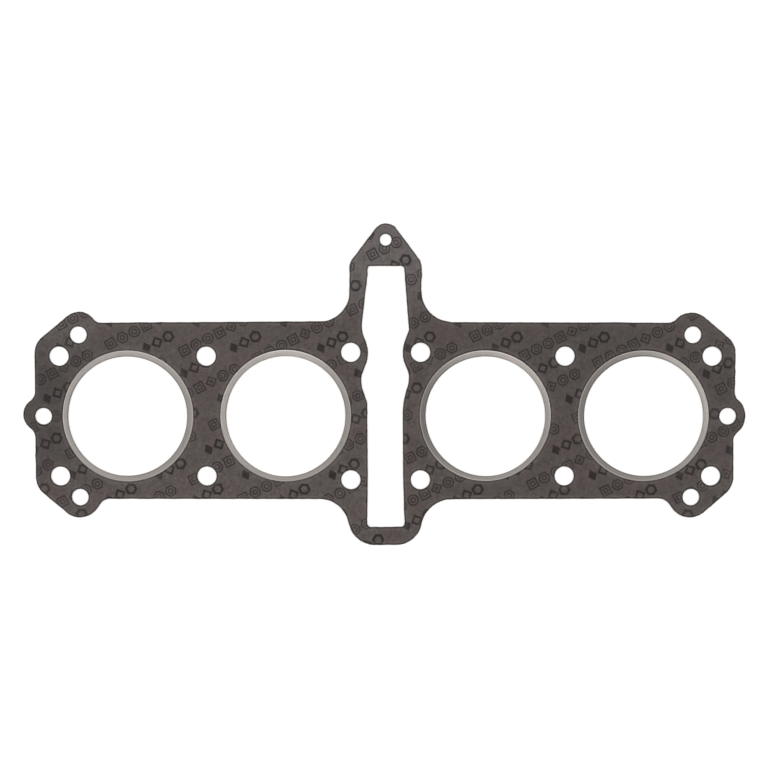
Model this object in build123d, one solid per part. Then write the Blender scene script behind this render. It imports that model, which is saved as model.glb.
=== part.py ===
from build123d import *
import os
from math import acos, sin, tan, pi

# Head gasket for an inline four-cylinder engine, with a cam chain slot between
# the middle cylinders.
# Frame: X along the row of cylinders, +Y towards the nose above the chain slot,
# +Z out of the face that meets the cylinder head. The origin is the centre of
# the stud pattern, in the middle of the sheet's thickness. Millimetres.

# ---------------------------------------------------------------- dimensions
sheet_t = 1.10            # thickness of the fibre composite sheet
edge_break = 0.08         # soft edge that the die leaves round every cut

# combustion openings and their folded steel rings
bore_x_outer = 154.85     # cylinders 1 and 4, distance from the centre
bore_x_inner = 59.90      # cylinders 2 and 3
ring_inner_r = 35.90      # clear radius inside the ring, for a 70 mm bore
ring_outer_r = 39.30      # outer edge of the flanges
strip_t = 0.20            # steel strip that the ring is folded from
fold_inner_r = 0.15       # inside radius of the fold
nip = 0.075               # how far each flange is pressed into the sheet
sheet_setback = 0.25      # gap left between the sheet's cut edge and the fold
rim_gap = 0.10            # narrow groove round the pressed-in flange
rim_round = 0.08          # rounded outer edge of a flange

# round holes
stud_r = 5.75             # twelve cylinder studs
stud_outer_x, stud_outer_y = 195.55, 36.10
stud_mid_x, stud_mid_y = 107.45, 36.10
stud_inner_x, stud_inner_y = 20.90, 38.40
corner_r = 5.00           # four holes beside the outer studs
corner_x, corner_y = 183.85, 48.90
end_r = 5.00              # one hole in each end ear
end_x = 205.30
nose_r = 3.50             # small screw hole in the nose
nose_y = 105.60

# Outline of the sheet: the corners before rounding, clockwise seen from +Z,
# each as x, y and the radius that rounds it.
outline = [
    (0.16, 120.53, 7.95),        # nose above the small hole
    (21.70, 91.87, 12.20),       # right shoulder of the nose
    (20.85, 56.53, 18.90),       # root of the nose on the long top edge
    (171.70, 56.11, 6.00),       # start of the upper right lobe
    (181.83, 66.78, 12.55),      # top of that lobe
    (209.58, 43.55, 13.10),      # upper right corner
    (209.43, 11.64, 5.45),       # upper root of the right ear
    (222.22, 0.35, 12.90),       # right ear
    (208.87, -12.04, 6.30),      # lower root of the right ear
    (209.34, -42.62, 14.05),     # lower right corner
    (180.78, -67.68, 13.05),     # foot of the lower right lobe
    (168.58, -49.76, 7.95),      # inner end of that lobe
    (24.76, -50.21, 18.80),      # right root of the chain skirt
    (19.01, -77.87, 15.50),      # right corner of the skirt
    (-18.29, -78.04, 16.00),     # left corner of the skirt
    (-26.70, -50.08, 17.35),     # left root of the skirt
    (-169.40, -49.92, 6.65),     # inner end of the lower left lobe
    (-182.22, -66.68, 12.30),    # foot of that lobe
    (-210.40, -42.74, 12.70),    # lower left corner
    (-210.36, -9.42, 7.65),      # lower root of the left ear
    (-223.87, 1.13, 10.10),      # left ear
    (-210.18, 11.49, 7.30),      # upper root of the left ear
    (-210.17, 43.76, 12.85),     # upper left corner
    (-181.18, 67.40, 10.65),     # top of the upper left lobe
    (-172.88, 56.10, 4.65),      # inner end of that lobe
    (-21.73, 57.10, 17.45),      # left root of the nose
    (-21.58, 91.87, 8.20),       # left shoulder of the nose
]

# The cam chain slot, in the same form.
slot = [
    (10.95, 90.00, 1.95),        # upper right corner
    (13.95, 51.75, 3.15),        # hip over the inner stud
    (8.90, 37.95, 18.45),        # waist beside the inner stud
    (14.95, 23.20, 15.35),       # hip under it
    (10.20, 8.95, 49.80),        # straight side begins
    (10.50, -34.85, 0.0),        # slight taper of the side
    (11.35, -66.93, 1.95),       # lower right corner
    (-11.10, -67.10, 2.35),      # lower left corner
    (-10.70, -36.20, 0.0),
    (-11.05, 8.45, 8.00),
    (-15.60, 21.15, 15.45),
    (-9.10, 38.60, 19.25),
    (-14.60, 51.45, 17.25),
    (-10.35, 89.95, 1.00),       # upper left corner
]

# ------------------------------------------------------------------- helpers


def rounded_loop(corners):
    """Closed wire of straight runs joined by tangent arcs at the corners."""
    n = len(corners)
    points = [Vector(x, y, 0) for x, y, _ in corners]
    starts, mids, ends = [], [], []
    for i in range(n):
        p, r = points[i], corners[i][2]
        a = (points[i - 1] - p).normalized()
        b = (points[(i + 1) % n] - p).normalized()
        half = acos(max(-1.0, min(1.0, a.dot(b)))) / 2
        if r <= 0:
            starts.append(p)
            mids.append(None)
            ends.append(p)
            continue
        t = r / tan(half)
        inward = (a + b).normalized()
        starts.append(p + a * t)
        mids.append(p + inward * (r / sin(half) - r))
        ends.append(p + b * t)
    edges = []
    for i in range(n):
        if mids[i] is not None:
            edges.append(Edge.make_three_point_arc(starts[i], mids[i], ends[i]))
        j = (i + 1) % n
        edges.append(Edge.make_line(ends[i], starts[j]))
    return Wire(edges)


def disc(x, y, r):
    return Pos(x, y, 0) * Face(Wire.make_circle(r))


# -------------------------------------------------------------- gasket sheet
bores = [(-bore_x_outer, 0), (-bore_x_inner, 0), (bore_x_inner, 0), (bore_x_outer, 0)]
sheet_bore_r = ring_inner_r + strip_t + sheet_setback

studs = [(sx * x, sy * y)
         for x, y in ((stud_outer_x, stud_outer_y), (stud_mid_x, stud_mid_y),
                      (stud_inner_x, stud_inner_y))
         for sx in (-1, 1) for sy in (-1, 1)]
corner_holes = [(sx * corner_x, sy * corner_y) for sx in (-1, 1) for sy in (-1, 1)]
end_holes = [(-end_x, 0), (end_x, 0)]

blank = Face(rounded_loop(outline))
blank -= Face(rounded_loop(slot))
for x, y in studs:
    blank -= disc(x, y, stud_r)
for x, y in corner_holes:
    blank -= disc(x, y, corner_r)
for x, y in end_holes:
    blank -= disc(x, y, end_r)
blank -= disc(0, nose_y, nose_r)

sheet = Pos(0, 0, -sheet_t / 2) * extrude(blank, amount=sheet_t, dir=(0, 0, 1))
# every cut edge of the blank is softly broken on both faces
rims = (sheet.edges().filter_by_position(Axis.Z, sheet_t / 2 - 1e-4, sheet_t / 2 + 1e-4)
        + sheet.edges().filter_by_position(Axis.Z, -sheet_t / 2 - 1e-4, -sheet_t / 2 + 1e-4))
sheet = chamfer(rims, edge_break)

# the openings for the rings, with the seat that each flange is pressed into
for x, y in bores:
    sheet -= Pos(x, y, 0) * Cylinder(sheet_bore_r, sheet_t * 2)
    for side in (-1, 1):
        seat = Cylinder(ring_outer_r + rim_gap, nip * 2)
        sheet -= Pos(x, y, side * sheet_t / 2) * seat

# ---------------------------------------------------------------- bore rings
# A strip folded to a U round the cut edge, open away from the bore, with one
# flange on each face. The section is drawn in radius and height, then turned.
under = sheet_t / 2 - nip           # inside of a flange, on its seat
over = under + strip_t              # outside of a flange
fold_outer_r = fold_inner_r + strip_t
web_r = ring_inner_r + strip_t      # outside of the upright web


def arc(cx, cz, r, a0, a1):
    """Arc of the section about (cx, cz), angles in degrees."""
    pts = []
    for a in (a0, (a0 + a1) / 2, a1):
        v = Vector(r, 0, 0).rotate(Axis.Z, a)
        pts.append(Vector(cx + v.X, 0, cz + v.Y))
    return Edge.make_three_point_arc(*pts)


def line(x0, z0, x1, z1):
    return Edge.make_line(Vector(x0, 0, z0), Vector(x1, 0, z1))


fold_cx = ring_inner_r + fold_outer_r
fold_cz = over - fold_outer_r
tip = ring_outer_r - rim_round
section = Wire([
    line(ring_inner_r, -fold_cz, ring_inner_r, fold_cz),
    arc(fold_cx, fold_cz, fold_outer_r, 180, 90),
    line(fold_cx, over, tip, over),
    arc(tip, over - rim_round, rim_round, 90, 0),
    line(ring_outer_r, over - rim_round, ring_outer_r, under),
    line(ring_outer_r, under, fold_cx, under),
    arc(fold_cx, fold_cz, fold_inner_r, 90, 180),
    line(web_r, fold_cz, web_r, -fold_cz),
    arc(fold_cx, -fold_cz, fold_inner_r, 180, 270),
    line(fold_cx, -under, ring_outer_r, -under),
    line(ring_outer_r, -under, ring_outer_r, -over + rim_round),
    arc(tip, -over + rim_round, rim_round, 0, -90),
    line(tip, -over, fold_cx, -over),
    arc(fold_cx, -fold_cz, fold_outer_r, 270, 180),
])
ring = revolve(Face(section), Axis.Z, 360)

# -------------------------------------------------------------------- export
parts = {"gasket_sheet": sheet}
for number, (x, y) in enumerate(bores, start=1):
    parts[f"bore_ring_{number}"] = Pos(x, y, 0) * ring

os.makedirs("parts", exist_ok=True)
for name, shape in parts.items():
    solids = shape.solids()
    body = solids[0] if len(solids) == 1 else Compound(solids)
    body.label = name
    export_step(body, f"parts/{name}.step")
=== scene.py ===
import math
import random

import bpy
import bmesh
import numpy as np
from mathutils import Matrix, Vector
from mathutils.geometry import delaunay_2d_cdt


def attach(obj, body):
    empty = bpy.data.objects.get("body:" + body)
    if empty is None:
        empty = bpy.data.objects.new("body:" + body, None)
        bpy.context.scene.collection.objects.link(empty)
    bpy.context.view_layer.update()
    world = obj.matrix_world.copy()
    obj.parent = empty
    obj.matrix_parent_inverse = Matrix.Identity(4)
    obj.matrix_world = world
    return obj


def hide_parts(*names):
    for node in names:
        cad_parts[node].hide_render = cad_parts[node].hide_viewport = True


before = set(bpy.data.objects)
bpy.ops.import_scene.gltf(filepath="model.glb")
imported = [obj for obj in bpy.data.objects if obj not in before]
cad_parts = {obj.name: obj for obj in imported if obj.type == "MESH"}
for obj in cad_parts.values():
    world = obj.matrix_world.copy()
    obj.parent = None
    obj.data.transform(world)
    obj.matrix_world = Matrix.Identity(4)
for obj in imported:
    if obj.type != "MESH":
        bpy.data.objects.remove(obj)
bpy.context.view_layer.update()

MM = 0.001

# ---------------------------------------------------------------- dimensions
# the same as the construction model's, in millimetres
SHEET_T = 1.10
HALF = SHEET_T / 2
BORES = [(-154.85, 0.0), (-59.9, 0.0), (59.9, 0.0), (154.85, 0.0)]
RING_IN = 35.90
RING_OUT = 39.30
STRIP = 0.20
RING_TOP = 0.675
STUDS = [(sx * x, sy * y) for x, y in ((195.55, 36.1), (107.45, 36.1), (20.9, 38.4))
         for sx in (-1, 1) for sy in (-1, 1)]
HOLES = ([(x, y, 5.75) for x, y in STUDS]
         + [(sx * 183.85, sy * 48.9, 5.00) for sx in (-1, 1) for sy in (-1, 1)]
         + [(-205.3, 0.0, 5.00), (205.3, 0.0, 5.00), (0.0, 105.6, 3.5)])

OUTLINE = [
    (0.16, 120.53, 7.95), (21.70, 91.87, 12.20), (20.85, 56.53, 18.90),
    (171.70, 56.11, 6.00), (181.83, 66.78, 12.55), (209.58, 43.55, 13.10),
    (209.43, 11.64, 5.45), (222.22, 0.35, 12.90), (208.87, -12.04, 6.30),
    (209.34, -42.62, 14.05), (180.78, -67.68, 13.05), (168.58, -49.76, 7.95),
    (24.76, -50.21, 18.80), (19.01, -77.87, 15.50), (-18.29, -78.04, 16.00),
    (-26.70, -50.08, 17.35), (-169.40, -49.92, 6.65), (-182.22, -66.68, 12.30),
    (-210.40, -42.74, 12.70), (-210.36, -9.42, 7.65), (-223.87, 1.13, 10.10),
    (-210.18, 11.49, 7.30), (-210.17, 43.76, 12.85), (-181.18, 67.40, 10.65),
    (-172.88, 56.10, 4.65), (-21.73, 57.10, 17.45), (-21.58, 91.87, 8.20),
]
SLOT = [
    (10.95, 90.00, 1.95), (13.95, 51.75, 3.15), (8.90, 37.95, 18.45),
    (14.95, 23.20, 15.35), (10.20, 8.95, 49.80), (10.50, -34.85, 0.0),
    (11.35, -66.93, 1.95), (-11.10, -67.10, 2.35), (-10.70, -36.20, 0.0),
    (-11.05, 8.45, 8.00), (-15.60, 21.15, 15.45), (-9.10, 38.60, 19.25),
    (-14.60, 51.45, 17.25), (-10.35, 89.95, 1.00),
]


# ------------------------------------------------------------- camera, light
# The camera looks down on the sheet with the nose of the part up, leaning
# back by four degrees, so the upper rows of holes come out a little wider.
# Near the origin a pixel of a 768 pixel wide picture is 0.6 mm.
CAM_D = 1.100
LEAN = math.asin(0.0743669)
AIM = Vector((-0.975 * MM, 19.405 * MM, HALF * MM))

cam_data = bpy.data.cameras.new("camera")
cam_data.sensor_width = 36.0
cam_data.lens = 36.0 * (CAM_D + AIM.y * math.sin(LEAN)) / (0.6 * MM * 768)
cam_data.clip_start, cam_data.clip_end = 0.05, 20.0
cam = bpy.data.objects.new("camera", cam_data)
cam.location = AIM + Vector((0, CAM_D * math.sin(LEAN), CAM_D * math.cos(LEAN)))
cam.rotation_euler = (-LEAN, 0, 0)
bpy.context.scene.collection.objects.link(cam)
bpy.context.scene.camera = cam

scene = bpy.context.scene
scene.view_settings.view_transform = "Standard"
scene.view_settings.look = "None"
scene.view_settings.exposure = 0.0
scene.view_settings.gamma = 1.0

world = bpy.data.worlds.new("studio")
world.use_nodes = True
scene.world = world
wb = world.node_tree.nodes["Background"]
wb.inputs["Color"].default_value = (1.0, 0.985, 0.965, 1.0)
wb.inputs["Strength"].default_value = 0.50


def area(name, loc, target, size_x, size_y, watts, colour=(1, 1, 1)):
    d = bpy.data.lights.new(name, "AREA")
    d.shape = "RECTANGLE"
    d.size, d.size_y = size_x, size_y
    d.energy = watts
    d.color = colour
    o = bpy.data.objects.new(name, d)
    o.location = loc
    o.rotation_euler = (Vector(target) - Vector(loc)).to_track_quat("-Z", "Y").to_euler()
    scene.collection.objects.link(o)
    return o


area("softbox_top", (0.0, 1.05, 1.75), (0, 0.03, 0), 2.2, 1.0, 14, (1.0, 0.985, 0.96))
area("softbox_left", (-1.50, 0.15, 1.30), (0, 0, 0), 1.1, 1.3, 11, (1.0, 0.98, 0.955))
area("softbox_right", (1.45, 0.25, 1.35), (0, 0, 0), 1.0, 1.2, 10, (1.0, 0.985, 0.965))
area("fill_front", (0.0, -1.25, 1.30), (0, 0, 0), 1.8, 0.7, 5, (1.0, 0.99, 0.98))


# ------------------------------------------------------------- node helpers
class Nodes:
    """Short-hand for building a material's node tree."""

    def __init__(self, name):
        self.mat = bpy.data.materials.new(name)
        self.mat.use_nodes = True
        self.t = self.mat.node_tree
        self.bsdf = self.t.nodes["Principled BSDF"]

    def link(self, value, socket):
        if isinstance(value, bpy.types.NodeSocket):
            self.t.links.new(value, socket)
        else:
            socket.default_value = value

    def math(self, op, a, b=None, c=None, clamp=False):
        n = self.t.nodes.new("ShaderNodeMath")
        n.operation = op
        n.use_clamp = clamp
        for i, v in enumerate((a, b, c)):
            if v is not None:
                self.link(v, n.inputs[i])
        return n.outputs[0]

    def add(self, a, b): return self.math("ADD", a, b)
    def sub(self, a, b): return self.math("SUBTRACT", a, b)
    def mul(self, a, b): return self.math("MULTIPLY", a, b)
    def absv(self, a): return self.math("ABSOLUTE", a)
    def maxv(self, a, b): return self.math("MAXIMUM", a, b)
    def minv(self, a, b): return self.math("MINIMUM", a, b)

    def coords(self, kind="Object"):
        n = self.t.nodes.new("ShaderNodeTexCoord")
        return n.outputs[kind]

    def split(self, v):
        n = self.t.nodes.new("ShaderNodeSeparateXYZ")
        self.link(v, n.inputs[0])
        return n.outputs[0], n.outputs[1], n.outputs[2]

    def combine(self, x, y, z):
        n = self.t.nodes.new("ShaderNodeCombineXYZ")
        for i, v in enumerate((x, y, z)):
            self.link(v, n.inputs[i])
        return n.outputs[0]

    def noise(self, vec, scale, detail=3.0, rough=0.5, distort=0.0, dim="3D"):
        n = self.t.nodes.new("ShaderNodeTexNoise")
        n.noise_dimensions = dim
        self.link(vec, n.inputs["Vector"])
        n.inputs["Scale"].default_value = scale
        n.inputs["Detail"].default_value = detail
        n.inputs["Roughness"].default_value = rough
        n.inputs["Distortion"].default_value = distort
        return n.outputs["Fac"]

    def voronoi(self, vec, scale, feature="F1", rnd=1.0):
        n = self.t.nodes.new("ShaderNodeTexVoronoi")
        n.feature = feature
        self.link(vec, n.inputs["Vector"])
        n.inputs["Scale"].default_value = scale
        n.inputs["Randomness"].default_value = rnd
        return n.outputs["Distance"]

    def ramp(self, fac, lo, hi, to_lo=0.0, to_hi=1.0, smooth=True):
        n = self.t.nodes.new("ShaderNodeMapRange")
        n.interpolation_type = "SMOOTHSTEP" if smooth else "LINEAR"
        n.clamp = True
        self.link(fac, n.inputs["Value"])
        n.inputs["From Min"].default_value = lo
        n.inputs["From Max"].default_value = hi
        n.inputs["To Min"].default_value = to_lo
        n.inputs["To Max"].default_value = to_hi
        return n.outputs["Result"]

    def mix(self, fac, a, b, mode="MIX"):
        n = self.t.nodes.new("ShaderNodeMix")
        n.data_type = "RGBA"
        n.blend_type = mode
        n.clamp_factor = True
        self.link(fac, n.inputs[0])
        self.link(a, n.inputs[6])
        self.link(b, n.inputs[7])
        return n.outputs[2]

    def scaled(self, vec, sx, sy, sz):
        n = self.t.nodes.new("ShaderNodeVectorMath")
        n.operation = "MULTIPLY"
        self.link(vec, n.inputs[0])
        n.inputs[1].default_value = (sx, sy, sz)
        return n.outputs[0]

    def attr(self, name):
        n = self.t.nodes.new("ShaderNodeAttribute")
        n.attribute_name = name
        return n.outputs["Fac"]

    def bump(self, height, strength, distance, normal=None):
        n = self.t.nodes.new("ShaderNodeBump")
        self.link(height, n.inputs["Height"])
        n.inputs["Strength"].default_value = strength
        n.inputs["Distance"].default_value = distance
        if normal is not None:
            self.link(normal, n.inputs["Normal"])
        return n.outputs["Normal"]


# ------------------------------------------------------------ fibre material
def fibre_material():
    m = Nodes("fibre_composite")
    pos = m.coords("Object")                      # metres
    mm = m.scaled(pos, 1000, 1000, 1000)          # millimetres
    x, y, z = m.split(mm)

    # body colour: brown-grey with broad greenish and reddish clouds
    cloud = m.noise(mm, 0.072, 3.0, 0.66, 0.4)
    cloud2 = m.noise(m.scaled(mm, 1.0, 1.0, 0.0), 0.13, 2.0, 0.5, 0.6)
    speck = m.noise(mm, 2.6, 4.0, 0.65)
    fleck = m.voronoi(mm, 0.9)
    red = (0.0625, 0.0442, 0.0430, 1.0)
    green = (0.0575, 0.0486, 0.0445, 1.0)
    base = m.mix(m.ramp(cloud, 0.36, 0.64), red, green)
    base = m.mix(m.mul(m.ramp(cloud2, 0.40, 0.66), 0.20), base, (0.072, 0.060, 0.058, 1.0))
    base = m.mix(m.mul(m.ramp(speck, 0.52, 0.72), 0.30), base, (0.088, 0.074, 0.070, 1.0))
    base = m.mix(m.mul(m.ramp(fleck, 0.16, 0.04), 0.30), base, (0.030, 0.026, 0.024, 1.0))

    # broad tone: paler towards the nose and along the lower left edge, a little
    # darker over the right half, with a few soft-edged darker places
    def spot(cx, cy, size):
        """1 at the place given, falling softly to 0 at the size."""
        dx, dy = m.sub(x, cx), m.sub(y, cy)
        return m.ramp(m.math("SQRT", m.add(m.mul(dx, dx), m.mul(dy, dy))), size, size * 0.2)

    nose = m.ramp(y, 54.0, 90.0)
    base = m.mix(m.mul(nose, 0.80), base, (0.096, 0.085, 0.085, 1.0))
    low = m.mul(m.ramp(y, -10.0, -46.0), m.mul(m.ramp(x, -205.0, -150.0), m.ramp(x, 190.0, -60.0, 0.25, 1.0)))
    base = m.mix(m.mul(low, 0.20), base, (0.094, 0.077, 0.074, 1.0))
    right = m.mul(m.ramp(x, -40.0, 60.0), m.sub(1.0, m.mul(nose, 0.8)))
    base = m.mix(m.mul(right, 0.30), base, (0.038, 0.0275, 0.0262, 1.0))
    for cx, cy, size, amount in ((-220.0, 12.0, 74.0, 0.84), (128.0, 52.0, 66.0, 0.34),
                                 (208.0, 26.0, 62.0, 0.34), (-66.0, 62.0, 36.0, 0.14)):
        base = m.mix(m.mul(spot(cx, cy, size), amount), base, (0.034, 0.028, 0.026, 1.0))
    base = m.mix(m.mul(spot(-196.0, 62.0, 32.0), 0.40), base, (0.094, 0.084, 0.082, 1.0))

    # short pressed fibres: light and dark grain a millimetre or two across
    fibre = m.noise(m.scaled(mm, 0.55, 1.0, 1.0), 0.95, 2.0, 0.55, 0.8)
    fibre2 = m.noise(m.scaled(mm, 1.0, 0.6, 1.0), 0.55, 2.0, 0.5, 0.5)
    grain = m.add(m.mul(m.sub(fibre, 0.5), 1.25), m.mul(m.sub(fibre2, 0.5), 0.92))
    base = m.mix(1.0, base, m.add(grain, 1.0), "MULTIPLY")

    # print: rows of plain marks, tilted, on the upper face only
    tilt = math.radians(27.0)
    cs, sn = math.cos(tilt), math.sin(tilt)
    wob = m.mul(m.sub(m.noise(mm, 0.35, 2.0, 0.5), 0.5), 0.22)
    u0 = m.add(m.add(m.mul(x, cs), m.mul(y, sn)), wob)
    v0 = m.add(m.sub(m.mul(y, cs), m.mul(x, sn)), wob)

    PITCH_V = 23.75

    def row_coords(v_shift):
        """Row number and the height above the middle of the row."""
        s = m.add(v0, v_shift)
        n = m.math("FLOOR", m.math("DIVIDE", s, PITCH_V))
        h = m.sub(m.sub(s, m.mul(n, PITCH_V)), PITCH_V / 2)
        return n, h

    def cell(u, size):
        n = m.math("FLOOR", m.math("DIVIDE", u, size))
        w = m.sub(m.sub(u, m.mul(n, size)), size / 2)
        return n, w

    def inked(dist, soft=0.16):
        """1 inside a shape whose signed distance is given, with a soft rim."""
        return m.ramp(dist, soft, -soft)

    # bold row: a block on its point, a hollow lozenge and a six-sided ring
    PU = 33.6
    n1, h1 = row_coords(5.2)
    ush = m.add(u0, m.mul(m.math("FRACT", m.mul(n1, 0.381966)), PU))
    _, w1 = cell(ush, PU)

    def lozenge(cx, a, squash=1.0):
        return m.sub(m.add(m.mul(m.absv(m.sub(w1, cx)), squash), m.absv(h1)), a)

    def hexagon(cx, a):
        dx, dy = m.absv(m.sub(w1, cx)), m.absv(h1)
        return m.sub(m.maxv(m.add(m.mul(dy, 0.866), m.mul(dx, 0.5)), dx), a)

    solid = lozenge(-7.0, 3.6, 1.30)
    loz = m.maxv(lozenge(0.1, 3.9), m.mul(lozenge(0.1, 1.95), -1.0))
    hexa = m.maxv(hexagon(7.6, 3.35), m.mul(hexagon(7.6, 1.85), -1.0))
    solid = m.minv(m.minv(solid, loz), hexa)
    ink_a = inked(solid)

    # outlined row: hollow rounds, squares, squares on their points and
    # six-sided shapes
    PO = 7.9
    n2, h2 = row_coords(5.2 + PITCH_V / 2)
    ush2 = m.add(u0, m.mul(m.math("FRACT", m.mul(n2, 0.618034)), 47.0))
    i2, w2 = cell(ush2, PO)
    kind = m.math("FRACT", m.math("DIVIDE", m.add(m.mul(m.add(i2, 0.5), 3.0), m.mul(n2, 5.0)), 8.0))
    r2 = m.math("SQRT", m.add(m.mul(w2, w2), m.mul(h2, h2)))
    round_d = m.sub(r2, 3.50)
    square_d = m.sub(m.maxv(m.absv(w2), m.absv(h2)), 3.20)
    point_d = m.sub(m.add(m.mul(m.absv(w2), 0.72), m.mul(m.absv(h2), 0.72)), 2.70)
    hex_d = m.sub(m.maxv(m.add(m.mul(m.absv(w2), 0.866), m.mul(m.absv(h2), 0.5)), m.absv(h2)), 3.30)

    def pick(lo, hi, a, b):
        """b where kind lies between lo and hi, a elsewhere."""
        k = m.mul(m.math("GREATER_THAN", kind, lo), m.math("LESS_THAN", kind, hi))
        return m.add(m.mul(a, m.sub(1.0, k)), m.mul(b, k))

    shape = pick(0.25, 0.50, round_d, square_d)
    shape = pick(0.50, 0.70, shape, hex_d)
    shape = pick(0.70, 0.88, shape, point_d)
    hollow = m.sub(m.absv(m.add(shape, 0.45)), 0.45)          # a stroke 0.9 mm wide
    core = m.sub(m.absv(m.add(shape, 2.05)), 0.37)             # and a thinner one within
    hollow = m.minv(hollow, core)
    hollow = m.add(hollow, m.mul(m.math("GREATER_THAN", kind, 0.88), 9.0))
    ink_b = inked(hollow, 0.14)

    worn = m.ramp(m.noise(mm, 0.9, 3.0, 0.6), 0.30, 0.55, 0.88, 1.0)
    patch = m.ramp(m.noise(mm, 0.045, 2.0, 0.5), 0.34, 0.60, 0.92, 1.0)
    top = m.ramp(z, 0.46, 0.53)
    ink = m.maxv(m.mul(ink_a, 0.94), m.mul(ink_b, 0.84))
    ink = m.mul(m.mul(m.mul(ink, worn), patch), top)
    base = m.mix(ink, base, (0.0072, 0.0045, 0.0042, 1.0))

    # the die presses and darkens the last half millimetre before a cut, and a painted shade of the rolled edge
    # adds to it;
    # round the combustion openings the same darkening is a painted shadow of the ring's rim on the sheet
    d = m.attr("cut_dist")
    burnish_and_shade = m.mul(m.ramp(d, 1.05, 0.55), m.attr("cut_burnish_and_shade"))
    base = m.mix(m.mul(burnish_and_shade, 0.68), base, (0.0145, 0.0098, 0.0092, 1.0))
    # painted highlight: a pale band a millimetre or two in from each cut and round each ring's seat
    painted_edge_highlight = m.mul(m.ramp(d, 0.80, 1.20), m.ramp(d, 2.5, 1.5))
    base = m.mix(m.mul(painted_edge_highlight, 0.16), base, (0.16, 0.145, 0.135, 1.0))

    m.link(base, m.bsdf.inputs["Base Color"])
    rough = m.ramp(m.noise(mm, 0.5, 3.0, 0.6), 0.3, 0.7, 0.44, 0.56)
    rough = m.sub(rough, m.mul(ink, 0.08))
    m.link(rough, m.bsdf.inputs["Roughness"])
    m.bsdf.inputs["Metallic"].default_value = 0.0
    m.bsdf.inputs["IOR"].default_value = 1.45
    m.link(m.sub(0.5, m.mul(ink, 0.12)), m.bsdf.inputs["Specular IOR Level"])

    # relief: short matted fibres pressed flat, a few pits, and the inked film
    grain = m.noise(m.scaled(mm, 1.0, 1.0, 2.5), 3.4, 5.0, 0.62, 0.8)
    weave = m.noise(m.scaled(mm, 0.7, 2.2, 1.0), 1.4, 3.0, 0.6, 1.2)
    pits = m.ramp(m.voronoi(mm, 1.7), 0.10, 0.26)
    height = m.add(m.add(m.mul(grain, 0.6), m.mul(weave, 0.35)), m.mul(pits, 0.22))
    height = m.add(height, m.mul(ink, 0.10))
    m.link(m.bump(height, 0.45, 0.00006), m.bsdf.inputs["Normal"])
    return m.mat


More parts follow.
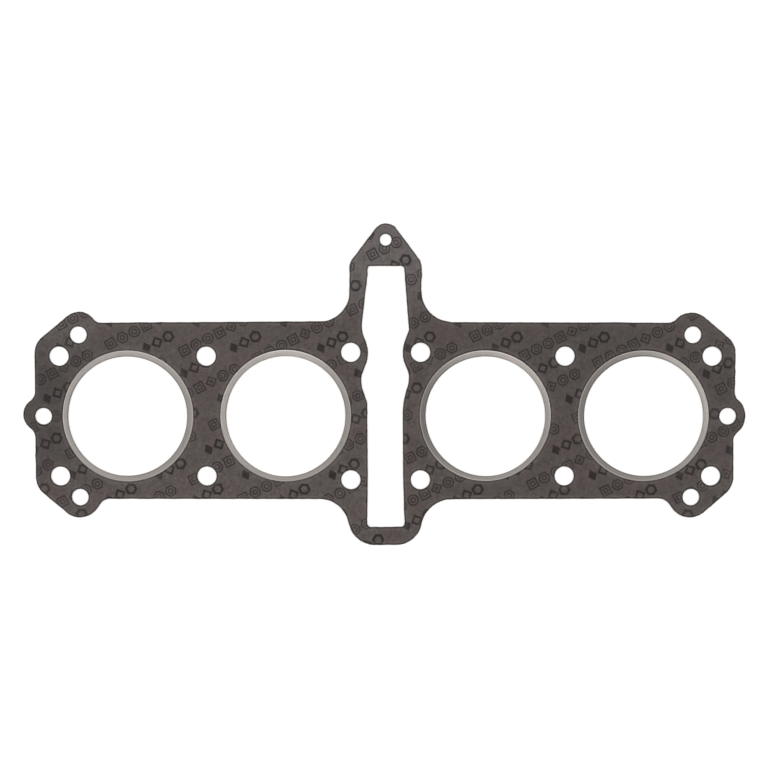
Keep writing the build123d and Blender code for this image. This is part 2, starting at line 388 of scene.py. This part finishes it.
def steel_material():
    m = Nodes("folded_steel")
    pos = m.coords("Object")
    mm = m.scaled(pos, 1000, 1000, 1000)
    x, y, z = m.split(mm)
    polar = m.math("SQRT", m.add(m.mul(x, x), m.mul(y, y)))
    ca, sa = m.math("DIVIDE", x, polar), m.math("DIVIDE", y, polar)
    r = m.attr("strip_r")                         # radius before the ring was sprung out of round
    # drawing lines that run round with the strip
    lines = m.noise(m.combine(m.mul(x, 0.035), m.mul(y, 0.035), m.mul(r, 2.1)), 1.0, 3.0, 0.7)
    fine = m.noise(m.combine(m.mul(x, 0.10), m.mul(y, 0.10), m.mul(r, 7.0)), 1.0, 3.0, 0.6)
    # slanted hair lines from the forming tool: the angle turns with the radius
    tw = m.mul(m.sub(r, 37.4), 0.026)
    ct, st = m.math("COSINE", tw), m.math("SINE", tw)
    cx = m.sub(m.mul(ca, ct), m.mul(sa, st))
    sx = m.add(m.mul(sa, ct), m.mul(ca, st))
    hair = m.noise(m.combine(m.mul(cx, 62.0), m.mul(sx, 62.0), m.mul(r, 0.25)), 1.0, 2.0, 0.6)
    hair_zone = m.ramp(m.noise(mm, 0.045, 2.0, 0.5), 0.40, 0.62)
    blotch = m.noise(mm, 0.13, 3.0, 0.6)
    nick = m.ramp(m.voronoi(mm, 0.42), 0.07, 0.03)
    col = m.mix(m.ramp(lines, 0.34, 0.66), (0.402, 0.376, 0.356, 1), (0.562, 0.535, 0.516, 1))
    col = m.mix(m.mul(m.ramp(fine, 0.40, 0.70), 0.30), col, (0.330, 0.310, 0.285, 1))
    col = m.mix(m.mul(m.mul(m.ramp(hair, 0.50, 0.66), hair_zone), 0.54), col, (0.300, 0.285, 0.265, 1))
    col = m.mix(m.mul(m.ramp(blotch, 0.46, 0.70), 0.25), col, (0.44, 0.400, 0.375, 1))
    col = m.mix(m.mul(nick, 0.45), col, (0.16, 0.15, 0.14, 1))
    tint = m.noise(mm, 0.09, 2.0, 0.5)
    col = m.mix(m.mul(m.ramp(tint, 0.50, 0.66), 0.35), col, (0.52, 0.465, 0.455, 1))
    col = m.mix(m.mul(m.ramp(tint, 0.42, 0.30), 0.30), col, (0.47, 0.485, 0.425, 1))
    # painted highlight on the rim, which the tool pressed down, reaching
    # further in on the side away from the nose
    rim_highlight = m.ramp(m.sub(r, m.mul(sa, 0.32)), RING_OUT - 0.70, RING_OUT - 0.35)
    col = m.mix(m.mul(rim_highlight, 0.17), col, (0.66, 0.635, 0.61, 1))
    # painted reflection: lighter and darker round the ring, least on the rim
    painted_reflection_offset = m.sub(m.attr("painted_reflection"), 1.0)
    gain = m.add(m.mul(painted_reflection_offset, m.sub(1.0, m.mul(rim_highlight, 0.65))), 1.0)
    # painted highlight on the rim, brighter and dimmer round the ring
    edge = m.mul(m.sub(m.attr("rim_highlight_gain"), 1.0), m.ramp(r, RING_OUT - 1.05, RING_OUT - 0.45))
    col = m.mix(1.0, col, m.mul(gain, m.add(edge, 1.0)), "MULTIPLY")
    # painted shade in the fold where the strip was bent round, darker still
    # where the painted reflection round the ring is dim
    fold_shade_zone = m.ramp(r, RING_IN + 0.85, RING_IN + 0.25)
    fold_shade_strength = m.math("ADD", m.sub(0.74, m.mul(painted_reflection_offset, 1.05)), m.attr("fold_shade_gain"), clamp=True)
    col = m.mix(m.mul(fold_shade_zone, fold_shade_strength), col, (0.120, 0.113, 0.104, 1))
    m.link(col, m.bsdf.inputs["Base Color"])
    m.bsdf.inputs["Metallic"].default_value = 1.0
    rough = m.add(m.ramp(lines, 0.3, 0.7, 0.36, 0.28), m.mul(m.sub(hair, 0.5), 0.10))
    m.link(rough, m.bsdf.inputs["Roughness"])
    h = m.add(m.add(m.mul(lines, 0.8), m.mul(fine, 0.35)), m.mul(m.mul(hair, hair_zone), 0.45))
    h = m.sub(h, m.mul(nick, 0.5))
    m.link(m.bump(h, 0.30, 0.00005), m.bsdf.inputs["Normal"])
    return m.mat


# ------------------------------------------------------------ sheet geometry
def rounded_samples(corners, outer, line_step=0.9, arc_step=0.8, arc_deg=5.0):
    """Points along a loop of straight runs and tangent arcs, clockwise, with
    the unit normal that points from the material into the air."""
    n = len(corners)
    pts = [Vector((c[0], c[1])) for c in corners]
    spans = []
    for i in range(n):
        p, r = pts[i], corners[i][2]
        a = (pts[i - 1] - p).normalized()
        b = (pts[(i + 1) % n] - p).normalized()
        half = math.acos(max(-1.0, min(1.0, a.dot(b)))) / 2
        if r <= 0:
            spans.append((p, p, None, 0))
            continue
        t = r / math.tan(half)
        c = p + (a + b).normalized() * (r / math.sin(half))
        spans.append((p + a * t, p + b * t, c, r))
    out = []
    for i in range(n):
        s, e, c, r = spans[i]
        if c is not None:
            a0 = math.atan2(s.y - c.y, s.x - c.x)
            a1 = math.atan2(e.y - c.y, e.x - c.x)
            d = (a1 - a0 + math.pi) % (2 * math.pi) - math.pi
            k = max(2, int(math.ceil(max(abs(d) * r / arc_step, abs(math.degrees(d)) / arc_deg))))
            for j in range(k):
                th = a0 + d * j / k
                out.append((c.x + r * math.cos(th), c.y + r * math.sin(th)))
        nxt = spans[(i + 1) % n][0]
        run = nxt - e
        k = max(1, int(run.length / line_step))
        for j in range(k):
            q = e + run * (j / k)
            out.append((q.x, q.y))
    P = np.array(out)
    keep = np.hypot(*(P - np.roll(P, 1, 0)).T) > 0.02
    P = P[keep]
    d = np.roll(P, -1, 0) - np.roll(P, 1, 0)
    d /= np.hypot(*d.T)[:, None]
    left = np.c_[-d[:, 1], d[:, 0]]
    return P, (left if outer else -left)


def circle_samples(cx, cy, r, n):
    t = -np.arange(n) * 2 * np.pi / n
    u = np.c_[np.cos(t), np.sin(t)]
    return np.array([cx, cy]) + u * r, -u


# Each ring is sprung a little out of round: millimetres of an even part, then
# cos 2a, sin 2a, cos 3a and sin 3a.
OVAL = [(-0.11, -0.14, 0.11, 0.03, 0.04), (0.05, -0.23, 0.10, 0.00, 0.10),
        (0.04, -0.11, -0.14, -0.05, 0.11), (-0.04, -0.16, -0.17, -0.04, 0.04)]


def waves_at(terms, a):
    even, c2, s2, c3, s3 = terms
    return (even + c2 * math.cos(2 * a) + s2 * math.sin(2 * a)
            + c3 * math.cos(3 * a) + s3 * math.sin(3 * a))


def oval(i, a):
    return waves_at(OVAL[i], a)


# The flange is a little wider in some places than in others: millimetres added
# to its outer edge, as a shift in x and y and then the same terms.
FLANGE = [((0.21, 0.10), (0.03, 0.03, -0.08, 0.05, -0.04)),
          ((-0.04, 0.26), (0.00, 0.03, 0.00, 0.00, -0.13)),
          ((-0.08, 0.25), (-0.08, 0.09, 0.06, 0.06, -0.10)),
          ((-0.17, 0.18), (-0.08, 0.08, 0.04, 0.04, -0.05))]


def flange(i, a):
    (dx, dy), terms = FLANGE[i]
    return dx * math.cos(a) + dy * math.sin(a) + waves_at(terms, a)


# Painted reflection round each ring, lighter and darker by angle: (angle, width in degrees, gain).
PAINTED_REFLECTION = [
    ((80, 32, 0.12), (245, 32, 0.12)),
    ((82, 30, 0.36), (190, 65, 0.24), (285, 45, 0.05)),
    ((60, 44, 0.26), (178, 55, -0.43)),
    ((10, 46, 0.16), (60, 28, 0.12), (148, 70, -0.35), (215, 35, -0.11), (265, 40, -0.12)),
]


# The same for the painted highlight on the pressed-down rim alone.
RIM_HIGHLIGHT = [
    ((0, 60, 0.22), (140, 62, -0.25)),
    (),
    ((245, 42, 0.20),),
    ((30, 58, -0.26), (192, 48, 0.28)),
]


# And for how dark the painted shade in the fold is.
FOLD_SHADE = [
    ((135, 26, -0.20), (285, 30, 0.12)),
    ((45, 26, -0.16), (135, 22, -0.22), (182, 20, 0.26)),
    ((20, 45, -0.15), (200, 35, 0.13), (305, 30, -0.20)),
    ((45, 26, -0.18), (200, 34, 0.20), (292, 34, -0.20)),
]


def lobes(table, a):
    """Sum of soft lobes at the angle a (radians)."""
    total = 0.0
    for centre, width, gain in table:
        d = (math.degrees(a) - centre + 180.0) % 360.0 - 180.0
        total += gain * math.exp(-(d / width) ** 2)
    return total


# Small burrs and dents that the die left on the cut: (x, y, size, height).
BURRS = [(21.5, 84.2, 1.6, 0.30), (5.2, 113.4, 0.9, 0.18), (20.4, 93.1, 1.0, 0.20),
         (21.4, 74.0, 1.0, 0.20), (36.6, 56.8, 1.6, 0.28), (136.6, 56.2, 8.0, 0.20),
         (173.5, 58.0, 1.4, -0.23), (193.2, 57.3, 1.5, 0.22), (209.5, 38.6, 1.1, -0.20),
         (209.4, 27.0, 1.0, 0.15), (39.4, -50.2, 1.5, 0.15), (19.6, -70.6, 1.2, 0.15),
         (-210.2, -39.3, 1.1, -0.20), (-210.3, -23.6, 0.8, 0.36), (-206.4, 48.0, 0.9, -0.20),
         (-191.3, 59.2, 1.3, 0.24), (-176.2, 60.2, 3.2, -0.27), (-147.1, 56.3, 3.0, 0.15),
         (-133.9, 56.4, 2.0, 0.24), (-69.6, 56.8, 1.3, 0.16), (-24.3, 65.2, 1.6, 0.20),
         (-11.2, 84.7, 1.3, 0.30), (-10.7, 87.7, 1.4, -0.18), (-11.5, 79.4, 2.0, 0.20),
         (-11.0, 2.3, 1.0, 0.18), (11.3, -63.1, 1.5, -0.15)]


def burrs(P):
    w = np.zeros(len(P))
    for x, y, size, high in BURRS:
        w += high * np.exp(-((P[:, 0] - x) ** 2 + (P[:, 1] - y) ** 2) / size ** 2)
    return w


def wander(P, amp, seed, waves=((3.1, 0.5), (7.0, 0.9), (17.0, 1.0))):
    """A small, repeatable in-and-out wander along a loop."""
    rng = random.Random(seed)
    s = np.r_[0, np.cumsum(np.hypot(*(np.roll(P, -1, 0) - P).T))]
    total, s = s[-1], s[:-1]
    w = np.zeros(len(P))
    for length, a in waves:
        k0 = max(2, round(total / length))
        for k in (k0, k0 + 3, k0 + 7):
            w += a * math.sqrt(1 / 3) * np.sin(2 * np.pi * k * s / total + rng.uniform(0, 2 * math.pi))
    return amp * w / 1.4


def build_sheet():
    # (distance into the material, height) from the flat of the upper face,
    # over the rolled edge, down the cut and round to the flat of the lower face
    edge_rows = [
        (2.00, HALF), (1.50, HALF), (1.00, HALF), (0.60, HALF - 0.002), (0.36, HALF - 0.009),
        (0.19, HALF - 0.026), (0.08, HALF - 0.055), (0.02, HALF - 0.095), (0.0, HALF - 0.15),
        (0.015, 0.18), (0.0, -0.05), (-0.01, -0.28), (0.0, -HALF + 0.09), (0.03, -HALF + 0.04),
        (0.09, -HALF + 0.012), (0.20, -HALF), (0.80, -HALF), (2.00, -HALF)]
    loops = []          # points, normals, wander, rows, shade, lean of the upper rows
    P, A = rounded_samples(OUTLINE, True)
    loops.append((P, A, wander(P, 0.055, 1) + burrs(P), edge_rows, 1.0, 0.0))
    P, A = rounded_samples(SLOT, False, arc_step=0.6, arc_deg=8)
    loops.append((P, A, wander(P, 0.05, 2) + burrs(P), edge_rows, 1.0, 0.0))
    for i, (cx, cy, r) in enumerate(HOLES):
        P, A = circle_samples(cx, cy, r, 60 if r > 4 else 48)
        loops.append((P, A, wander(P, 0.025, 10 + i, ((4.0, 0.6), (11.0, 1.0))), edge_rows, 1.0, 0.0))
    # round each combustion opening the sheet dips under the ring's flange:
    # heights against distance out from the seat's edge (negative is under it)
    seat = [(2.0, HALF), (1.4, HALF), (0.95, HALF - 0.001), (0.60, HALF - 0.006), (0.34, HALF - 0.022),
            (0.16, HALF - 0.060), (0.05, HALF - 0.12), (0.0, HALF - 0.20), (-0.05, 0.325),
            (-0.60, 0.385), (-1.4, 0.425), (-2.3, 0.455), (-2.95, 0.470), (-3.05, 0.44)]
    seat_rows = seat + [(-3.06, 0.15)] + [(-3.06, -0.15)] + [(s, -z) for s, z in reversed(seat)]
    SEAT_R = RING_OUT + 0.10
    for i, (cx, cy) in enumerate(BORES):
        P, A = circle_samples(cx, cy, SEAT_R, 288)
        turn = [math.atan2(q[1] - cy, q[0] - cx) for q in P]
        out = np.array([-oval(i, a) for a in turn])
        # strength of the painted shadow that the ring's rim casts on the sheet, strongest towards the nose for
        # rings 2 to 4
        shade = np.array([0.30 + lobes(((90, 42, 0.0 if i == 0 else 0.88),), a) for a in turn])
        lean = np.array([-flange(i, a) for a in turn])
        loops.append((P, A, wander(P, 0.012, 40 + i, ((9.0, 0.6), (31.0, 1.0))) + out, seat_rows, shade, lean))

    verts, faces, dist, shades = [], [], [], []
    tops, bottoms = [], []          # indices of each loop's first and last rows
    for P, A, w, rows, shade, lean in loops:
        n = len(P)
        shade = np.broadcast_to(shade, (n,))
        lean = np.broadcast_to(lean, (n,))
        Q = P + A * w[:, None]
        first = len(verts)
        for s, z in rows:
            part = min(1.0, max(0.0, (2.95 + s) / 2.85))
            for j in range(n):
                q = Q[j] + A[j] * (lean[j] * part - s)
                verts.append((q[0], q[1], z))
                dist.append(max(0.0, min(3.0, s)))
                shades.append(shade[j])
        for k in range(len(rows) - 1):
            a, b = first + k * n, first + (k + 1) * n
            for j in range(n):
                j2 = (j + 1) % n
                faces.append((a + j, a + j2, b + j2, b + j))
        tops.append(list(range(first, first + n)))
        bottoms.append(list(range(first + (len(rows) - 1) * n, first + len(rows) * n)))

    V = np.array(verts)

    def inside(poly, pts):
        x, y = pts[:, 0], pts[:, 1]
        res = np.zeros(len(pts), bool)
        px, py = poly[:, 0], poly[:, 1]
        qx, qy = np.roll(px, -1), np.roll(py, -1)
        for a, b, c, d in zip(px, py, qx, qy):
            if b != d:
                m = ((b > y) != (d > y)) & (x < (c - a) * (y - b) / (d - b) + a)
                res ^= m
        return res

    def cap(rings, z):
        pts2, edges = [], []
        ids = []
        for ring in rings:
            f = len(pts2)
            m = len(ring)
            pts2 += [Vector((V[i][0], V[i][1])) for i in ring]
            ids += ring
            edges += [(f + j, f + (j + 1) % m) for j in range(m)]
        polys = [V[ring][:, :2] for ring in rings]
        # loose points inside the flat keep the triangles compact
        step = 6.0
        gx, gy = np.meshgrid(np.arange(-224, 226, step), np.arange(-82, 126, step * 0.866))
        gx[::2] += step / 2
        G = np.c_[gx.ravel(), gy.ravel()]
        ok = inside(polys[0], G)
        for poly in polys[1:]:
            ok &= ~inside(poly, G)
        G = G[ok]
        allp = np.vstack(polys)
        for g in G:
            if np.min(np.hypot(allp[:, 0] - g[0], allp[:, 1] - g[1])) > 1.8:
                pts2.append(Vector((float(g[0]), float(g[1]))))
                ids.append(-1)
        co, _, tri, orig, _, _ = delaunay_2d_cdt(pts2, edges, [], 0, 1e-7)
        C = np.array([(c.x, c.y) for c in co])
        back = []
        for k, o in enumerate(orig):
            own = [ids[q] for q in o if ids[q] >= 0]
            if own:
                back.append(own[0])
            else:
                verts.append((C[k][0], C[k][1], z))
                dist.append(3.0)
                shades.append(1.0)
                back.append(len(verts) - 1)
        T = np.array([t for t in tri if len(t) == 3])
        cen = C[T].mean(1)
        keep = inside(polys[0], cen)
        for poly in polys[1:]:
            keep &= ~inside(poly, cen)
        used = set()
        for t, k in zip(T, keep):
            if k:
                f = tuple(back[q] for q in t)
                faces.append(f)
                used.update(f)
        return used

    cap(tops, HALF)
    cap(bottoms, -HALF)

    me = bpy.data.meshes.new("gasket_sheet_body")
    me.from_pydata([(a * MM, b * MM, c * MM) for a, b, c in verts], [], faces)
    me.update()
    # the second attribute is the darkening's strength: die pressing with painted shade at the cuts, painted
    # shadow round the rings
    for name, values in (("cut_dist", dist), ("cut_burnish_and_shade", shades)):
        at = me.attributes.new(name, "FLOAT", "POINT")
        at.data.foreach_set("value", np.array(values, np.float32))
    bm = bmesh.new()
    bm.from_mesh(me)
    loose = [v for v in bm.verts if not v.link_faces]
    bmesh.ops.delete(bm, geom=loose, context="VERTS")
    bmesh.ops.recalc_face_normals(bm, faces=bm.faces)
    bm.to_mesh(me)
    bm.free()
    me.polygons.foreach_set("use_smooth", [True] * len(me.polygons))
    o = bpy.data.objects.new("gasket_sheet_body", me)
    scene.collection.objects.link(o)
    return o


# ------------------------------------------------------------- ring geometry
def ring_section(cone, rim_drop):
    """Closed section of the folded strip, as (radius, height), upper half
    first. The flange falls gently away from the fold, then more steeply over
    the rim, where it was pressed into the sheet."""
    fold_r = 0.35
    cx, cz = RING_IN + fold_r, RING_TOP - fold_r
    top = []
    for k in range(11):
        a = math.radians(180 - 90 * k / 10)
        top.append((cx + fold_r * math.cos(a), cz + fold_r * math.sin(a)))
    span = RING_OUT - 0.65 - cx
    for k in range(1, 9):
        f = k / 8
        r = cx + span * f
        top.append((r, RING_TOP - cone * span * (0.35 * f + 0.65 * f * f)))
    z1 = top[-1][1]
    for f, g in ((0.25, 0.16), (0.5, 0.40), (0.72, 0.66), (0.88, 0.88)):
        top.append((RING_OUT - 0.65 + 0.62 * f, z1 - rim_drop * g))
    ez = z1 - rim_drop
    top += [(RING_OUT - 0.05, ez - 0.004), (RING_OUT - 0.015, ez - 0.022), (RING_OUT, ez - 0.055)]
    low = [(RING_OUT, ez - 0.13), (RING_OUT - 0.03, ez - 0.175)]
    for f, g in ((0.72, 0.66), (0.36, 0.26)):
        low.append((RING_OUT - 0.65 + 0.62 * f, z1 - rim_drop * g - STRIP))
    for k in range(8, 0, -2):
        f = k / 8
        r = cx + span * f
        low.append((r, RING_TOP - STRIP - cone * span * (0.35 * f + 0.65 * f * f)))
    ir = fold_r - STRIP
    for k in range(4):
        a = math.radians(90 + 90 * k / 3)
        low.append((cx + ir * math.cos(a), cz + ir * math.sin(a)))
    upper = top + low                       # from the bore wall out and back
    lower = [(r, -z) for r, z in reversed(upper)]
    return upper + lower


def build_ring(index, cx, cy, cone, rim_drop, seed):
    rng = random.Random(seed)
    sec = ring_section(cone, rim_drop)
    n, m = 320, len(sec)
    ph = [rng.uniform(0, 2 * math.pi) for _ in range(6)]
    verts, strip_r, painted_reflection, rim_highlight_gain, fold_shade_gain = [], [], [], [], []
    for i in range(n):
        t = 2 * math.pi * i / n
        # uneven crimping: the flange stands a few hundredths up and down
        wob = (0.006 * math.sin(3 * t + ph[0]) + 0.005 * math.sin(5 * t + ph[1])
               + 0.0025 * math.sin(17 * t + ph[2]) + 0.0016 * math.sin(41 * t + ph[3]))
        edge = 0.010 * math.sin(2 * t + ph[4]) + 0.006 * math.sin(11 * t + ph[5])
        for r, z in sec:
            f = max(0.0, (r - RING_IN - 0.55) / (RING_OUT - RING_IN - 0.55))
            side = 1 if z > 0 else -1
            zz = z - side * f * (0.010 + wob)
            rr = r + f * (edge - 0.010 + flange(index - 1, t)) + oval(index - 1, t)
            verts.append((rr * math.cos(t) * MM, rr * math.sin(t) * MM, zz * MM))
            strip_r.append(r)
            # painted reflection round the ring, then the painted rim highlight and the painted fold shade, by
            # angle
            painted_reflection.append(1.0 + lobes(PAINTED_REFLECTION[index - 1], t))
            rim_highlight_gain.append(1.0 + lobes(RIM_HIGHLIGHT[index - 1], t))
            fold_shade_gain.append(lobes(FOLD_SHADE[index - 1], t))
    faces = []
    for i in range(n):
        i2 = (i + 1) % n
        for j in range(m):
            j2 = (j + 1) % m
            faces.append((i * m + j, i2 * m + j, i2 * m + j2, i * m + j2))
    me = bpy.data.meshes.new(f"fire_ring_{index}")
    me.from_pydata(verts, [], faces)
    me.update()
    for name, values in (("strip_r", strip_r), ("painted_reflection", painted_reflection), ("rim_highlight_gain", rim_highlight_gain),
                         ("fold_shade_gain", fold_shade_gain)):
        at = me.attributes.new(name, "FLOAT", "POINT")
        at.data.foreach_set("value", np.array(values, np.float32))
    bm = bmesh.new()
    bm.from_mesh(me)
    bmesh.ops.recalc_face_normals(bm, faces=bm.faces)
    bm.to_mesh(me)
    bm.free()
    me.polygons.foreach_set("use_smooth", [True] * len(me.polygons))
    o = bpy.data.objects.new(f"fire_ring_{index}", me)
    o.location = (cx * MM, cy * MM, 0)
    scene.collection.objects.link(o)
    return o


fibre = fibre_material()
steel = steel_material()

sheet = build_sheet()
sheet.data.materials.append(fibre)
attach(sheet, "root")
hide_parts("gasket_sheet")

for i, (cx, cy) in enumerate(BORES, start=1):
    ring = build_ring(i, cx, cy, cone=(0.030, 0.030, 0.034, 0.032)[i - 1],
                      rim_drop=0.075, seed=70 + i)
    ring.data.materials.append(steel)
    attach(ring, "root")
    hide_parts(f"bore_ring_{i}")

# -------------------------------------------------------------------- floor
floor_me = bpy.data.meshes.new("floor")
S = 6.0
zf = -RING_TOP * MM
floor_me.from_pydata([(-S, -S, zf), (S, -S, zf), (S, S, zf), (-S, S, zf)], [], [(0, 1, 2, 3)])
floor = bpy.data.objects.new("floor", floor_me)
scene.collection.objects.link(floor)
fm = Nodes("paper_white")
fm.bsdf.inputs["Base Color"].default_value = (0.93, 0.93, 0.925, 1)
fm.bsdf.inputs["Roughness"].default_value = 0.9
fm.bsdf.inputs["Specular IOR Level"].default_value = 0.1
fm.bsdf.inputs["Emission Color"].default_value = (1, 1, 1, 1)
fm.bsdf.inputs["Emission Strength"].default_value = 0.18
floor_me.materials.append(fm.mat)
